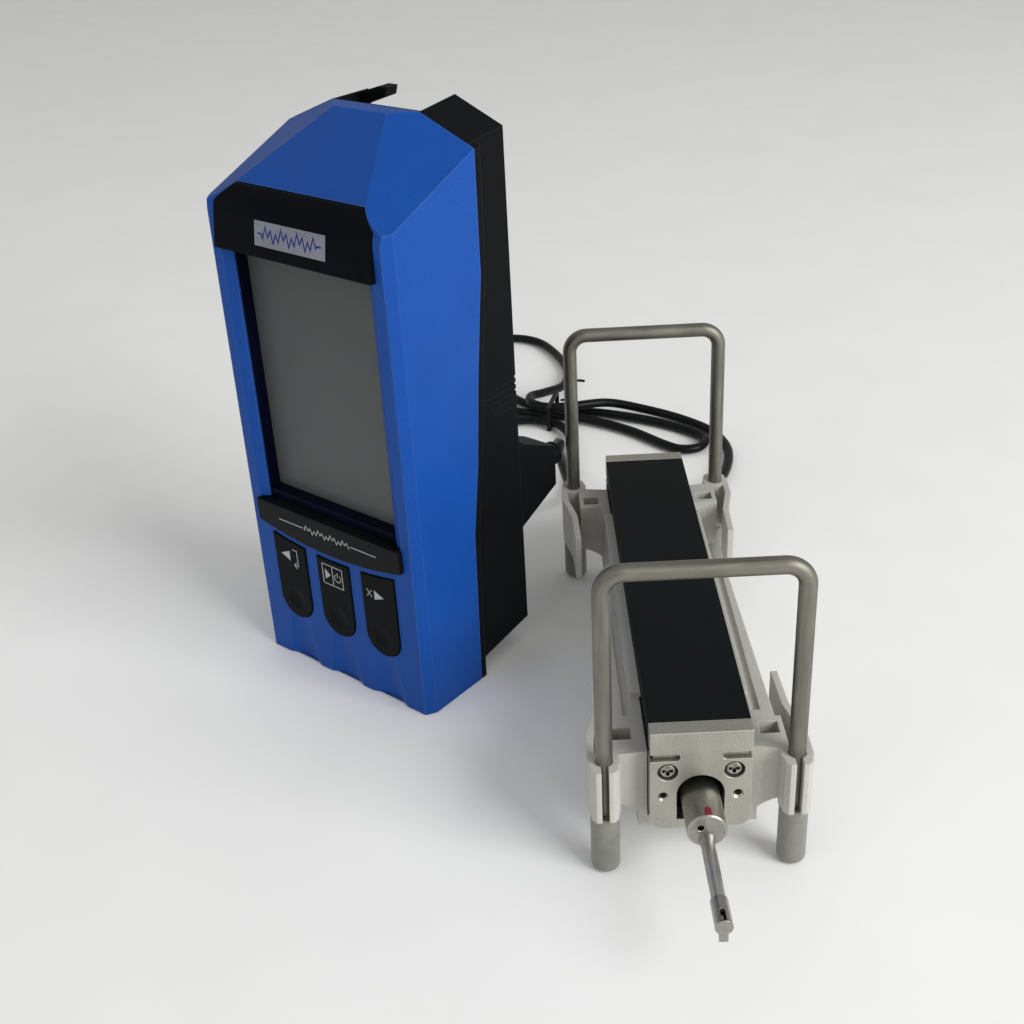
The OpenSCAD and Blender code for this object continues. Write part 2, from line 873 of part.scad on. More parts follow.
// The drive's cross-section in x and z with its round lower corners
module drive_section() {
    r = drive_corner;
    translate([-drive_w / 2, drive_z + r]) square([drive_w, drive_h - r]);
    translate([-drive_w / 2 + r, drive_z]) square([drive_w - 2 * r, drive_h]);
    for (side = [-1, 1]) translate([side * (drive_w / 2 - r), drive_z + r]) circle(r);
}

// The grooves along both sides of the drive that the tray's lips slide in, cut to a depth
module groove_section(depth) {
    for (side = [-1, 1]) translate([side * drive_w / 2, 0])
        translate([-depth, groove_low]) square([2 * depth, groove_h]);
}

// The two shallow slots in the front plate's face, round at their inner ends
module slot_section() {
    groove_section(slot_in);
    for (side = [-1, 1]) translate([side * (drive_w / 2 - slot_in), groove_low + groove_h / 2])
        circle(groove_h / 2);
}

// The arch for the pickup in x and z, grown by a gap
module arch_section(grow) {
    w = arch_w / 2 + grow;
    translate([0, arch_mid]) circle(w);
    translate([-w, arch_low - grow]) square([2 * w, arch_mid - arch_low + grow]);
}

// Children at the two plate screws, with z turned along y
module at_plate_screws() {
    for (side = [-1, 1]) translate([side * plate_screw_pitch / 2, 0, plate_screw_z])
        rotate([-90, 0, 0]) children();
}

module drive_housing() {
    color([0.1, 0.11, 0.11]) at_drive() along_y(plate_t, rear_plate_y) {
        difference() {
            drive_section();
            groove_section(groove_d);
            translate([-inner_half, inner_low]) square([2 * inner_half, inner_top - inner_low]);
        }
        for (side = [-1, 1]) translate([side * rib_x - rib_w / 2, inner_low - 0.1]) square([rib_w,
            rib_h + 0.1]);
    }
}

module front_plate() {
    color("silver") at_drive() difference() {
        along_y(0, plate_t) difference() {
            drive_section();
            arch_section(0);
            groove_section(groove_d);
        }
        along_y(-1, slot_d) slot_section();
        at_plate_screws() cylinder(r = plate_screw_r + screw_gap, h = 3 * plate_t, center = true);
        at_plate_screws() translate([0, 0, -1]) cylinder(r = counterbore_r, h = counterbore_d + 1);
        for (side = [-1, 1]) {
            bar_y(fixture_r, side * fixture_pitch / 2, fixture_z, -1, plate_t + 1);
            translate([side * fixture_pitch / 2, sink_d, fixture_z]) rotate([90, 0, 0])
                cylinder(r1 = sink_r - sink_d, r2 = sink_r + sink_d, h = 2 * sink_d);
        }
    }
}

module rear_plate() {
    color("silver") at_drive() difference() {
        along_y(rear_plate_y, drive_len) difference() {
            drive_section();
            groove_section(groove_d);
        }
        translate([0, drive_len, 0]) mirror([0, 1, 0]) {
            at_plate_screws() cylinder(r = plate_screw_r + screw_gap, h = 3 * plate_t, center = true);
            at_plate_screws() translate([0, 0, -1]) cylinder(r = counterbore_r, h = counterbore_d + 1);
        }
        bar_y(gland_r - 1, 0, gland_z, rear_plate_y - 1, drive_len + 1);
    }
}

// The two screws of one end plate, heads down in their counterbores
module plate_screw_pair() {
    at_plate_screws() translate([0, 0, counterbore_d - head_t])
        pan_screw(plate_screw_r - press_gap, plate_screw_len, head_r, head_t);
}

module plate_screws() {
    color("lightgray") at_drive() {
        plate_screw_pair();
        translate([0, drive_len, 0]) mirror([0, 1, 0]) plate_screw_pair();
    }
}

// The two rods' centres as children's places
module at_rods() {
    for (side = [-1, 1]) translate([side * rod_x, 0, 0]) children();
}

module front_block() {
    color("darkgray") at_drive() difference() {
        block([-block_half, plate_t, block_low], [block_half, front_block_back, block_top]);
        along_y(0, front_block_back + 1) arch_section(0.3);
        at_plate_screws() cylinder(r = plate_screw_r, h = plate_t + plate_screw_len);
        at_rods() bar_y(rod_r + press_gap, 0, rod_z, plate_t + 1, front_block_back + 1);
        bar_y(bush_r + press_gap, 0, axis_z, plate_t + 1, front_block_back + 1);
    }
}

module rear_block() {
    front = rear_plate_y - rear_block_t;
    color("darkgray") at_drive() difference() {
        block([-block_half, front, block_low], [block_half, rear_plate_y, block_top]);
        translate([0, drive_len, 0]) mirror([0, 1, 0])
            at_plate_screws() cylinder(r = plate_screw_r, h = plate_t + plate_screw_len);
        bar_y(gland_r - 1, 0, gland_z, front - 1, rear_plate_y + 1);
    }
}

module motor_block() {
    back = motor_block_y + motor_block_t;
    color("darkgray") at_drive() difference() {
        block([-block_half, motor_block_y, motor_block_low], [block_half, back, block_top]);
        at_rods() bar_y(rod_r + press_gap, 0, rod_z, motor_block_y - 1, back - 1);
        bar_y(shaft_r + 1, 0, axis_z, motor_block_y - 1, back + 1);
    }
}

module guide_rods() {
    color("lightgray") at_drive() at_rods() bar_y(rod_r, 0, rod_z, plate_t + 1,
        motor_block_y + motor_block_t - 1);
}

module screw_bush() {
    color("goldenrod") at_drive() difference() {
        bar_y(bush_r, 0, axis_z, plate_t + 1, front_block_back);
        bar_y(rod_r + run_fit, 0, axis_z, plate_t + 2, front_block_back + 1);
    }
}

module lead_screw() {
    color("lightgray") at_drive() bar_y(rod_r, 0, axis_z, plate_t + 2.2,
        coupling_y + coupling_len / 2 - 0.5);
}

module screw_coupling() {
    middle = coupling_y + coupling_len / 2;
    color("silver") at_drive() difference() {
        bar_y(coupling_r, 0, axis_z, coupling_y, coupling_y + coupling_len);
        bar_y(rod_r + press_gap, 0, axis_z, coupling_y - 1, middle - 0.5);
        bar_y(shaft_r + press_gap, 0, axis_z, middle - 1, coupling_y + coupling_len + 1);
    }
}

module motor_shaft() {
    color("lightgray") at_drive() bar_y(shaft_r, 0, axis_z, coupling_y + coupling_len / 2 + 0.3,
        motor_y + 3.7);
}

module gear_motor() {
    tail_y = motor_y + gearbox_len + motor_len;
    color("gray") at_drive() difference() {
        union() {
            bar_y(motor_r, 0, axis_z, motor_y, motor_y + gearbox_len);
            bar_y(motor_r - 0.3, 0, axis_z, motor_y + gearbox_len, tail_y);
            bar_y(motor_r - 2, 0, axis_z, tail_y, tail_y + 2);
        }
        bar_y(shaft_r + run_fit, 0, axis_z, motor_y - 1, motor_y + 4);
    }
}

module drive_board() {
    top = inner_low + rib_h + board_t;
    front = motor_y + 2;
    span = rear_plate_y - rear_block_t - 1 - front;
    chip_t = 1.2;
    // Left and right edge of each chip, and its front and back edge as shares of the board's length
    chips = [[-4, 4, 0.16, 0.32], [-7, -1, 0.48, 0.6], [-5, 5, 0.7, 0.78]];
    color("darkgreen") at_drive() {
        block([-block_half, front, inner_low + rib_h], [block_half, front + span, top]);
        for (c = chips) block([c[0], front + c[2] * span, top], [c[1], front + c[3] * span,
            top + chip_t]);
    }
}

module cable_gland() {
    flange_len = 2;
    color([0.1, 0.1, 0.1]) at_drive() difference() {
        union() {
            bar_y(gland_r - 1 - press_gap, 0, gland_z, rear_plate_y, drive_len);
            bar_y(gland_r, 0, gland_z, drive_len, drive_len + flange_len);
            translate([0, drive_len + gland_len, gland_z]) rotate([90, 0, 0])
                cylinder(r1 = wire_r + 0.7, r2 = gland_r - 0.8, h = gland_len - flange_len);
        }
        bar_y(wire_r, 0, gland_z, rear_plate_y - 1, drive_len + gland_len - 2);
    }
}

module carriage() {
    back = carriage_front + carriage_len;
    color("darkgray") at_drive() difference() {
        block([-carriage_half, carriage_front, carriage_low], [carriage_half, back, carriage_top]);
        at_rods() bar_y(rod_r + run_fit, 0, rod_z, carriage_front - 1, back + 1);
        bar_y(nut_r + press_gap, 0, axis_z, back - nut_len, back + 1);
        bar_y(rod_r + 0.5, 0, axis_z, carriage_front - 1, back);
        bar_y(tail_r + press_gap, 0, pickup_z, carriage_front - 1, carriage_front + tail_len);
    }
}

module drive_nut() {
    back = carriage_front + carriage_len;
    color("goldenrod") at_drive() difference() {
        bar_y(nut_r, 0, axis_z, back - nut_len, back);
        bar_y(rod_r + run_fit, 0, axis_z, back - nut_len - 1, back + 1);
    }
}

module pickup_body() {
    color("darkgray") at_drive() difference() {
        union() {
            bar_y(pickup_r, 0, pickup_z, pickup_front + pickup_edge, pickup_back);
            translate([0, pickup_front, pickup_z]) rotate([-90, 0, 0])
                cylinder(r1 = pickup_r - pickup_edge, r2 = pickup_r, h = pickup_edge);
            bar_y(tail_r, 0, pickup_z, pickup_back, carriage_front + tail_len - 0.5);
        }
        bar_y(cavity_r, 0, pickup_z, pickup_front + pickup_face, pickup_back - 4);
        bar_y(stem_bore, 0, stem_z, pickup_front - 1, pickup_front + pickup_face + 1);
        bar_y(adjust_r, -1.4, pickup_z + 1, pickup_front - 1, pickup_front + pickup_face + 1);
    }
}

module pickup_stem() {
    color("silver") at_drive() difference() {
        union() {
            bar_y(stem_r, 0, stem_z, nose_back - nose_lap, pickup_front);
            translate([0, pickup_front, stem_z]) rotate([90, 0, 0])
                cylinder(r1 = root_r, r2 = stem_r, h = root_len);
        }
        bar_y(stem_bore, 0, stem_z, nose_back - nose_lap - 1, pickup_front + 1);
    }
}

// The slot for the stylus tip in x and y, from its front end back, with a round rear end
module tip_slot(front) {
    back = tip_slot_back - tip_slot_w / 2;
    translate([-tip_slot_w / 2, front]) square([tip_slot_w, back - front]);
    translate([0, back]) circle(tip_slot_w / 2);
}

module pickup_nose() {
    color("gray") at_drive() difference() {
        union() {
            bar_y(nose_r, 0, stem_z, nose_y, nose_back);
            block([-skid_w / 2, nose_y, stem_z - nose_r - skid_h], [skid_w / 2, nose_y + skid_t, stem_z]);
        }
        bar_y(stem_r + press_gap, 0, stem_z, nose_back - nose_lap, nose_back + 1);
        bar_y(stem_bore, 0, stem_z, nose_y + 1, nose_back);
        translate([0, 0, stem_z]) linear_extrude(nose_r + 1) tip_slot(tip_slot_y);
        translate([0, 0, stem_z - nose_r - 1]) linear_extrude(nose_r + 1.1) tip_slot(nose_y + skid_t + 0.1);
    }
}

module sensor_coil() {
    low = stem_z + arm_r + 0.6;
    high = pickup_z + sqrt(cavity_r * cavity_r - coil_half * coil_half) - 0.05;
    color("peru") at_drive() block([-coil_half, arm_pivot + 3, low], [coil_half, arm_back - 0.5, high]);
}

module pivot_pin() {
    color("lightgray") at_drive() translate([-pin_half, arm_pivot, stem_z]) rotate([0, 90, 0])
        cylinder(r = pin_r, h = 2 * pin_half);
}

module stylus_arm() {
    color("lightgray") at_drive() difference() {
        union() {
            bar_y(arm_r, 0, stem_z, arm_front, arm_back);
            translate([-hub_half, arm_pivot, stem_z]) rotate([0, 90, 0]) cylinder(r = hub_r,
                h = 2 * hub_half);
            translate([0, arm_front + tip_r, stem_z - tip_drop]) cylinder(r1 = 0.05, r2 = tip_r, h = 0.8);
            translate([0, arm_front + tip_r, stem_z - tip_drop + 0.8]) cylinder(r = tip_r,
                h = tip_drop - 0.8);
        }
        translate([-big / 2, arm_pivot, stem_z]) rotate([0, 90, 0]) cylinder(r = pin_r + run_fit,
            h = big);
    }
}

// Children on the right clip at the front, at the three other clips too, mirrored to each end
module at_clips() {
    both_sides() {
        children();
        translate([0, 2 * tray_mid, 0]) mirror([0, 1, 0]) children();
    }
}

// The web between the tray's side and one clip, with its deep pocket and arched lower edge
module web() {
    pocket_in = tray_out + 0.9;
    pocket_out = web_out - 1.2;
    difference() {
        translate([0, 0, tray_low]) linear_extrude(clip_top - tray_low)
            polygon([[tray_in, web_front], [leg_x, bail_front + 1.4], [leg_x, bail_front + 3],
                [web_out, bail_front + 3.2], [web_out, web_y], [tray_in, web_y]]);
        bar_y(web_arch_r, web_arch_x, web_arch_z, -1, web_y + 1);
        block([pocket_in, web_pocket_y[0], clip_top - web_pocket_d],
            [pocket_out, web_pocket_y[1], clip_top + 1]);
    }
}

// One split clip with its two jaws and its spring finger, drawn about the bail leg
module clip() {
    tall = clip_top - clip_low;
    jaw_in = jaw_gap / 2;
    translate([0, 0, clip_low]) linear_extrude(tall) difference() {
        union() {
            circle(clip_r);
            for (side = [0, 1]) mirror([side, 0])
                polygon([[jaw_in, 0], [jaw_in, -jaw_out], [jaw_in + 1.2, -jaw_out],
                    [jaw_in + jaw_w, -jaw_out + 1.4], [jaw_in + jaw_w, 0]]);
        }
        translate([-jaw_in, -jaw_out - 1]) square([jaw_gap, jaw_out + 1]);
    }
    translate([0, 0, finger_low]) linear_extrude(clip_top - finger_low) polygon([[clip_r - finger_t, 1.5],
        [clip_r, 0], [clip_r, 8.5], [clip_r - 2.2, 18.5], [clip_r - 2.6, finger_len],
        [clip_r - 2.6 - finger_t, finger_len], [clip_r - 2.2 - finger_t, 18], [clip_r - finger_t, 8]]);
}

// A side flange along the front part of the tray, with a shallow pocket along its top
module flange() {
    y0 = web_y - 0.5;
    inner = tray_out - 0.5;
    difference() {
        translate([0, 0, clip_top - flange_t]) linear_extrude(flange_t)
            polygon([[inner, y0], [flange_out, y0], [flange_tip, flange_back - 6],
                [tray_out, flange_back], [inner, flange_back]]);
        block([tray_out + 0.4, y0 + 3, clip_top - flange_pocket_d],
            [tray_out + 0.4 + flange_pocket_w, flange_back - 9, clip_top + 1]);
    }
}

module stand_tray() {
    y0 = tray_front;
    y1 = 2 * tray_mid - tray_front;
    lip_z = groove_low + lip_gap;
    lip_h = groove_h - 2 * lip_gap;
    color("whitesmoke") at_drive() difference() {
        union() {
            along_y(y0, y1) {
                translate([-tray_out, tray_low]) square([2 * tray_out, tray_floor]);
                for (side = [0, 1]) mirror([side, 0])
                    translate([tray_in, tray_low]) square([tray_wall, clip_top - tray_low]);
            }
            along_y(lip_front, 2 * tray_mid - lip_front) for (side = [0, 1]) mirror([side, 0]) {
                translate([tray_in, drive_z]) square([tray_wall, lip_z + lip_h - drive_z]);
                translate([drive_w / 2 - lip_in, lip_z]) square([lip_in + tray_wall, lip_h]);
            }
            both_sides() flange();
            at_clips() web();
            at_clips() translate([leg_x, bail_front, 0]) clip();
        }
        at_clips() translate([leg_x, bail_front, 0]) cylinder(r = bail_r + run_fit, h = big);
    }
}

// One wire bail: two legs, two bends and a cross bar
module bail(y) {
    bend_z = bail_h - bail_bend;
    translate([0, y, 0]) {
        for (side = [-1, 1]) translate([side * leg_x, 0, leg_foot]) cylinder(r = bail_r,
            h = bend_z - leg_foot);
        both_sides() translate([leg_x - bail_bend, 0, bend_z]) rotate([90, 0, 0])
            rotate_extrude(angle = 90) translate([bail_bend, 0]) circle(bail_r);
        translate([-leg_x + bail_bend, 0, bail_h]) rotate([0, 90, 0])
            cylinder(r = bail_r, h = 2 * (leg_x - bail_bend));
    }
}

// The pair of foot sleeves on one bail
module feet(y) {
    for (side = [-1, 1]) translate([side * leg_x, y, 0]) difference() {
        rotate_extrude() {
            square([foot_r - foot_round, foot_top]);
            translate([0, foot_round]) square([foot_r, foot_top - foot_round]);
            translate([foot_r - foot_round, foot_round]) circle(foot_round);
        }
        translate([0, 0, leg_foot]) cylinder(r = bail_r + press_gap, h = big);
    }
}

module front_bail() {
    color([0.5, 0.49, 0.44]) at_drive() bail(bail_front);
}

module front_feet() {
    color("gainsboro") at_drive() feet(bail_front);
}

module rear_bail() {
    color([0.5, 0.49, 0.44]) at_drive() bail(bail_rear);
}

module rear_feet() {
    color("gainsboro") at_drive() feet(bail_rear);
}

module cable_plug() {
    back = plug_y + plug_len;
    tip_z = socket_z + plug_lift;
    color([0.08, 0.08, 0.09]) at_host() {
        along_x(socket_x - plug_half, socket_x + plug_half)
            polygon([[plug_y, socket_z - plug_tall / 2], [back, tip_z - plug_short / 2],
                [back, tip_z + plug_short / 2], [plug_y + 5, socket_z + plug_tall / 2],
                [plug_y, socket_z + plug_tall / 2]]);
        bar_y(relief_r, socket_x, tip_z, back, back + relief_len);
        block([socket_x - socket_w / 5, host_d - socket_d + 3, socket_z - socket_h / 5],
            [socket_x + socket_w / 5, plug_y, socket_z + socket_h / 5]);
    }
}

// A smooth point on the route between its points, by the Catmull-Rom formula
function route_point(t) =
    let (last = len(cable_route) - 1, i = min(floor(t), last - 1), u = t - i)
    let (b = cable_route[i], c = cable_route[i + 1])
    let (a = i > 0 ? cable_route[i - 1] : 2 * b - c, d = i < last - 1 ? cable_route[i + 2] : 2 * c - b)
    0.5 * (2 * b + (c - a) * u + (2 * a - 5 * b + 4 * c - d) * u * u + (3 * b - a - 3 * c + d)
        * u * u * u);

// The unit direction of the route there
function route_direction(t) =
    let (last = len(cable_route) - 1)
    let (step = route_point(min(t + 0.01, last)) - route_point(max(t - 0.01, 0)))
    step / norm(step);

// One ring of points around the route
function route_ring(t) =
    let (along = route_direction(t), across = cross(along, [0, 0, 1]))
    let (side = across / norm(across), over = cross(side, along))
    [for (k = [0:cable_sides - 1]) let (a = 360 * k / cable_sides)
        route_point(t) + wire_r * (cos(a) * side + sin(a) * over)];

module drive_cable() {
    last = len(cable_route) - 1;
    n = cable_sides;
    rings = cable_rings;
    points = [for (i = [0:rings - 1]) each route_ring(last * i / (rings - 1))];
    walls = [for (i = [0:rings - 2], k = [0:n - 1]) let (a = i * n + k, b = i * n + (k + 1) % n)
        each [[a, b, b + n], [a, b + n, a + n]]];
    ends = [[for (k = [n - 1:-1:0]) k], [for (k = [0:n - 1]) (rings - 1) * n + k]];
    color([0.07, 0.07, 0.07]) polyhedron(points, concat(walls, ends));
}

module twist_tie() {
    w = tie_inner[0] + 2 * tie_t;
    h = tie_inner[1] + 2 * tie_t;
    color([0.1, 0.1, 0.1]) translate(tie_place) rotate([0, 0, tie_turn]) rotate([90, 0, 90])
        linear_extrude(tie_w, center = true) difference() {
            square([w, h], center = true);
            square(tie_inner, center = true);
        }
}

front_shell();
rear_shell();
brow_panel();
nameplate();
display_panel();
display_frame();
rail_left();
rail_right();
lower_trim();
key_left();
key_start();
key_right();
key_board();
main_board();
battery_pack();
host_socket();
case_screws();
rear_pads();
drive_housing();
front_plate();
rear_plate();
plate_screws();
front_block();
rear_block();
motor_block();
guide_rods();
screw_bush();
lead_screw();
screw_coupling();
motor_shaft();
gear_motor();
drive_board();
cable_gland();
carriage();
drive_nut();
pickup_body();
pickup_stem();
pickup_nose();
sensor_coil();
pivot_pin();
stylus_arm();
stand_tray();
front_bail();
front_feet();
rear_bail();
rear_feet();
cable_plug();
drive_cable();
twist_tie();
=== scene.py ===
from math import cos, pi, radians, sin

import bmesh
import bpy
from mathutils import Matrix, Vector


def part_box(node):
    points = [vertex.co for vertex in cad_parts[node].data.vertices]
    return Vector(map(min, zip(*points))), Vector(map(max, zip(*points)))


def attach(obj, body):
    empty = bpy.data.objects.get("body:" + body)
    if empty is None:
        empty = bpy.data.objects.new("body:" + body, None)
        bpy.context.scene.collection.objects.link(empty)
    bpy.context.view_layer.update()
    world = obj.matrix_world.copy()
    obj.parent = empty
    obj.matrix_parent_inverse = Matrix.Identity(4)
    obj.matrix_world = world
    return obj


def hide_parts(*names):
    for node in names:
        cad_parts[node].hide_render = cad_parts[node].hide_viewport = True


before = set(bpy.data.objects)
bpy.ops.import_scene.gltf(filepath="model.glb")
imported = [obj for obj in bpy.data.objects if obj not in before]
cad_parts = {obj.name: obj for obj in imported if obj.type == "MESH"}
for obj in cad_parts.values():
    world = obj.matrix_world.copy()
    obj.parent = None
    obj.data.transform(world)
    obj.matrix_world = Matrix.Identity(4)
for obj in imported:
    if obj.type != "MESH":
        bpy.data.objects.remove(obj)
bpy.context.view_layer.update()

mm = 0.001
imageSize = 1024  # the photograph's frame, in pixels


# Camera
camera = {
    "place": (0.0472, -0.3306, 0.2315),  # metres, worked out from the photograph's straight edges
    "pan": -0.81,  # degrees to the right of +Y
    "pitch": 29.16,  # degrees below level
    "roll": -3.17,
    "focalPixels": 1375.7,
    "sensor": 36.0,  # millimetres
    "nearest": 0.01,
}


def placeCamera():
    pan, pitch, roll = (radians(camera[k]) for k in ("pan", "pitch", "roll"))
    forward = Vector((sin(pan) * cos(pitch), cos(pan) * cos(pitch), -sin(pitch)))
    level = Vector((cos(pan), -sin(pan), 0))
    over = level.cross(forward)
    right = cos(roll) * level + sin(roll) * over
    up = cos(roll) * over - sin(roll) * level
    data = bpy.data.cameras.new("camera")
    data.sensor_width = camera["sensor"]
    data.lens = camera["sensor"] * camera["focalPixels"] / imageSize
    data.clip_start = camera["nearest"]
    obj = bpy.data.objects.new("camera", data)
    bpy.context.collection.objects.link(obj)
    turn = Matrix((right, up, -forward)).transposed().to_4x4()
    obj.matrix_world = Matrix.Translation(camera["place"]) @ turn
    bpy.context.scene.camera = obj


placeCamera()
print("camera placed")


# Shared helpers
def hexColour(code):
    parts = [int(code[i:i + 2], 16) / 255 for i in (1, 3, 5)]
    linear = [p / 12.92 if p <= 0.04045 else ((p + 0.055) / 1.055) ** 2.4 for p in parts]
    return (*linear, 1.0)


def addNode(tree, kind, inputs=None, links=None, stops=(), **settings):
    node = tree.nodes.new(kind)
    for name, value in settings.items():
        setattr(node, name, value)
    for element, (position, code) in zip(node.color_ramp.elements if stops else (), stops):
        element.position, element.color = position, hexColour(code)
    for name, value in (inputs or {}).items():
        node.inputs[name].default_value = value
    for name, socket in (links or {}).items():
        tree.links.new(socket, node.inputs[name])
    return node


def startMaterial(name, **constants):
    material = bpy.data.materials.new(name)
    material.use_nodes = True
    tree = material.node_tree
    tree.nodes.clear()
    shader = addNode(tree, "ShaderNodeBsdfPrincipled", constants)
    addNode(tree, "ShaderNodeOutputMaterial", links={"Surface": shader.outputs["BSDF"]})
    place = addNode(tree, "ShaderNodeTexCoord").outputs["Object"]
    return material, tree, shader, place


def perMetre(sizeMm):  # a noise scale whose blobs are about this size in millimetres
    return 1 / (sizeMm * mm)


# Moulded plastics: a spark-eroded mould leaves a fine even grain, and handling leaves soft patches
# that are a little smoother. The grain is drawn about twice its real size so that it shows.
plastics = {
    # satin blue ABS of the front shell: a soft even sheen, hardly darker in the grain; its pale blue edge
    # colour is a painted highlight
    "blueAbsMoulded": {"low": "#0c4496", "high": "#104b9f", "roughness": (0.4, 0.52), "gloss": 0.17,
                       "grain": 0.5, "depth": 0.006, "edge": "#6f9be0"},
    # matt black ABS of the rear shell and the plug: hardly any reflection, with a painted highlight that
    # makes its ridges a little paler
    "blackAbsMoulded": {"low": "#080a0c", "high": "#0d1013", "roughness": (0.5, 0.64), "gloss": 0.07,
                        "grain": 0.5, "depth": 0.02, "edge": "#3c4347"},
    # satin black ABS of the trim strip: a faint sheen along its upper edge
    "trimAbsMoulded": {"low": "#0a0d0f", "high": "#111517", "roughness": (0.4, 0.5), "gloss": 0.1,
                       "grain": 0.4, "depth": 0.012},
    # white ABS of the tray: chalky, with a faint warm cast; its near-white edge colour is a painted
    # highlight
    "whiteAbsMoulded": {"low": "#b6b4ac", "high": "#bebcb4", "roughness": (0.42, 0.54), "gloss": 0.3,
                        "grain": 0.8, "depth": 0.006, "edge": "#f2f1ee"},
    # silicone keys: satin, softer than the shell
    "siliconeKeyMoulded": {"low": "#0a0d0f", "high": "#111517", "roughness": (0.46, 0.58), "gloss": 0.06,
                           "grain": 0.4, "depth": 0.015},
    # rubber pads on the host's back: dull, with no highlight
    "rubberPadMoulded": {"low": "#121212", "high": "#191918", "roughness": (0.6, 0.75), "gloss": 0.15,
                         "grain": 0.4, "depth": 0.03},
    # clear-grey vinyl sleeves on the bails' feet: a waxy grey, lighter where the light falls
    "vinylFootMoulded": {"low": "#7a7a73", "high": "#83837c", "roughness": (0.3, 0.42), "gloss": 0.4,
                         "grain": 2.5, "depth": 0.004},
    # black vinyl cable: a narrow soft highlight along its upper side
    "vinylCableExtruded": {"low": "#08090b", "high": "#0f1113", "roughness": (0.3, 0.42), "gloss": 0.16,
                           "grain": 1.5, "depth": 0.02},
    # tinted acrylic of the brow: near black and smooth, with a dim wide reflection
    "acrylicBrowMoulded": {"low": "#06080d", "high": "#0a0c12", "roughness": (0.24, 0.32), "gloss": 0.045,
                           "grain": 6, "depth": 0.006},
    # frame around the screen: a very dark navy that hardly reflects, partly its own dark colour and partly
    # painted shade of blue plastic in deep shadow
    "frameNavyShaded": {"low": "#05061a", "high": "#090a22", "roughness": (0.4, 0.5), "gloss": 0.08,
                         "grain": 0.4, "depth": 0.006},
    # plastic-coated wire of the cable's tie: black with a soft shine
    "tieWireCoated": {"low": "#090a0b", "high": "#111213", "roughness": (0.3, 0.42), "gloss": 0.16,
                      "grain": 0.8, "depth": 0.02},
    # heat-shrunk blue wrap of the battery: glossy, with slow ripples
    "batteryWrapShrunk": {"low": "#1d4d8c", "high": "#28609f", "roughness": (0.25, 0.35), "gloss": 0.5,
                          "grain": 4, "depth": 0.05},
    # pad-printed inks: flat films with a dry edge
    "inkWhitePrinted": {"low": "#a9adae", "high": "#b7bbbc", "roughness": (0.5, 0.6), "gloss": 0.2,
                        "grain": 0.3, "depth": 0.004},
    "inkBluePrinted": {"low": "#1c2577", "high": "#27338f", "roughness": (0.45, 0.55), "gloss": 0.2,
                       "grain": 0.3, "depth": 0.004},
    # dabbed paint: thicker than the inks, with a soft shine
    "paintRedDabbed": {"low": "#6f0f1f", "high": "#821728", "roughness": (0.35, 0.45), "gloss": 0.4,
                       "grain": 0.5, "depth": 0.02},
}

# Metals: blasting leaves a sparkle of tiny pits, drawing and grinding leave fine lines along the
# work, and handling dulls them in patches. A stretch below 1 draws the grain out along that axis.
metals = {
    # bead-blasted and clear-anodised end plates: a warm grey with a fine sparkle; their near-white edges
    # are partly rubbing and partly painted highlight, and painted shade darkens the slots and counterbores
    "aluminiumBlastedAnodised": {"low": "#a8a59c", "high": "#bdbab1", "roughness": (0.4, 0.5),
                                 "grain": 0.35, "depth": 0.02, "edge": "#f4f3f0", "recess": "#4a473f"},
    # milled blocks inside the drive: bright, with fine lines along the cut
    "aluminiumMachined": {"low": "#b3b2ad", "high": "#c8c7c3", "roughness": (0.26, 0.38), "grain": 0.5,
                          "stretch": (1, 0.06, 1), "depth": 0.01},
    # black baked paint on the drive's housing: satin, so not metallic to the eye
    "aluminiumHousingPainted": {"low": "#0b0f10", "high": "#121718", "roughness": (0.5, 0.6), "grain": 0.4,
                                "depth": 0.012, "metallic": 0, "gloss": 0.08},
    # nickel-plated bail wire: a dull warm grey, with faint drawn lines along legs and bar alike
    "steelWirePlated": {"low": "#75726a", "high": "#8b897f", "roughness": (0.44, 0.54), "grain": 0.4,
                        "stretch": (0.03, 1, 0.03), "depth": 0.006},
    # ground rods, screw and stem: bright lines along their length
    "steelGround": {"low": "#acaba6", "high": "#c6c5c0", "roughness": (0.26, 0.38), "grain": 0.3,
                    "stretch": (1, 0.05, 1), "depth": 0.008},
    # plated screw heads: bright faces, with painted shade darkening the cross
    "steelScrewPlated": {"low": "#9b9992", "high": "#b3b1a9", "roughness": (0.25, 0.36), "grain": 0.4,
                         "depth": 0.01, "recess": "#1c1a16"},
    # satin-chromed pickup barrel: darker than the plate behind it; its near-white edges are partly rubbing
    # and partly painted highlight
    "pickupChromeSatin": {"low": "#92918b", "high": "#a9a8a1", "roughness": (0.3, 0.4), "grain": 0.35,
                          "depth": 0.015, "edge": "#f4f3f0"},
    # polished nose and skid: sharper highlights than the stem
    "noseSteelPolished": {"low": "#95928b", "high": "#adaaa3", "roughness": (0.2, 0.28), "grain": 0.3,
                          "depth": 0.015},
    # drawn motor can: a soft grey with faint lines along its length
    "motorCanDrawn": {"low": "#8c8c8b", "high": "#a3a3a2", "roughness": (0.26, 0.36), "grain": 0.4,
                      "stretch": (1, 0.08, 1), "depth": 0.01},
    # turned brass nut and bush: a warm yellow with a fine sparkle
    "brassTurned": {"low": "#a8873f", "high": "#c3a354", "roughness": (0.24, 0.36), "grain": 0.3,
                    "depth": 0.01},
    # enamelled copper wire, drawn as coarse windings so that they show
    "copperWound": {"low": "#8a4a24", "high": "#b5672f", "roughness": (0.3, 0.42), "grain": 0.25,
                    "stretch": (0.1, 1, 1), "depth": 0.03},
    # brushed foil of the nameplate: fine lines across its width
    "foilNameplateBrushed": {"low": "#8b8e9b", "high": "#9fa2af", "roughness": (0.36, 0.46), "grain": 0.3,
                             "stretch": (0.05, 1, 1), "depth": 0.006},
}
